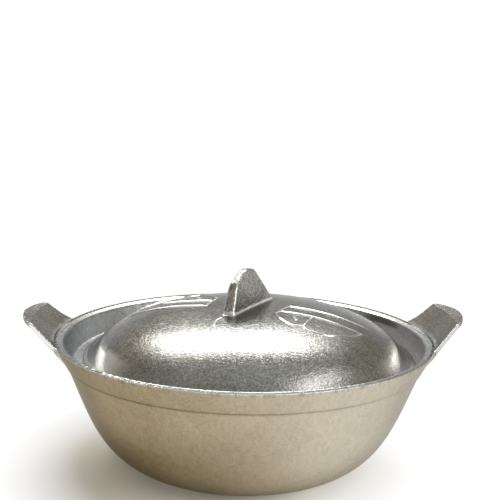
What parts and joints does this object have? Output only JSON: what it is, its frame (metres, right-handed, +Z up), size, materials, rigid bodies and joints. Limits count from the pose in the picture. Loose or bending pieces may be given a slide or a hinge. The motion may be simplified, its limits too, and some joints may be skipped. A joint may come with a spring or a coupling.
{
  "type": "lidded two-handled pot",
  "caption": "Round cast aluminium pot with upturned tab handles and a domed lid with a fin knob and a raised leaf pattern.",
  "frame": {"origin": "on the surface the pot stands on, under the middle of its round base", "axes": "+X through the right handle, so the two handles lie along X; +Y away from the front view; +Z up, the way the lid lifts"},
  "size_m": [0.2784, 0.24, 0.127],
  "materials": {
    "satin_cast_aluminium": "satin, as cast and lightly brushed",
    "bright_cast_aluminium": "polished, with a fine grain"
  },
  "bodies": {
    "pot": {"pot_bowl": "satin_cast_aluminium", "left_handle": "satin_cast_aluminium", "right_handle": "satin_cast_aluminium"},
    "lid": {"lid_dome": "bright_cast_aluminium", "lid_knob": "bright_cast_aluminium"}
  },
  "joints": [
    {"name": "lid_lift", "type": "slide", "parent": "pot", "child": "lid", "axis": [0, 0, 1], "range_m": [0, 0.15]}
  ]
}
